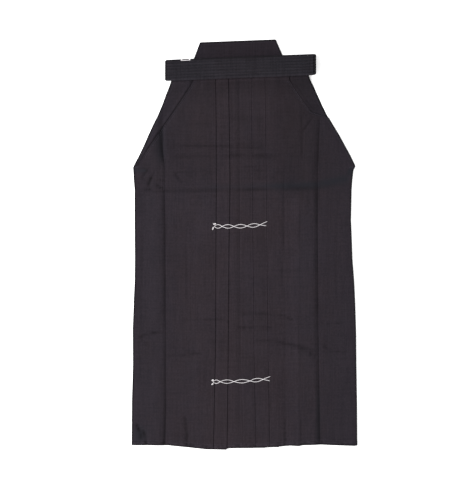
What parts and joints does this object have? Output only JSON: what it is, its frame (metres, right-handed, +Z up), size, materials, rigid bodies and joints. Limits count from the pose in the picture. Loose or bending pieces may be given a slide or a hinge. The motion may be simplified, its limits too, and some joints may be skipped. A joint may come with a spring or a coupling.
{
  "type": "hakama trousers",
  "caption": "Wide pleated hakama trousers in dark cotton, laid flat front up, with a stiff back board and ties folded across the waist.",
  "frame": {"origin": "middle of the box around the garment, on the surface that its back lies on", "axes": "+Y from the hem to the waist, +Z up from the back to the front of the garment, +X toward the wearer's left"},
  "size_m": [0.5497, 0.9989, 0.0216],
  "materials": {
    "panel_cotton": "matt plain weave, dark indigo",
    "tie_cotton": "matt, quilted with lengthwise rows",
    "board_cloth": "matt, smooth over a stiff board"
  },
  "bodies": {
    "root": {"front_right_leg": "panel_cotton", "front_left_leg": "panel_cotton", "back_right_leg": "panel_cotton", "back_left_leg": "panel_cotton", "crotch_gusset": "panel_cotton", "back_board": "board_cloth", "front_waistband": "tie_cotton", "front_tie_right_folded": "tie_cotton", "front_tie_left_folded": "tie_cotton", "back_tie_right_folded": "tie_cotton", "back_tie_left_folded": "tie_cotton"}
  },
  "joints": []
}
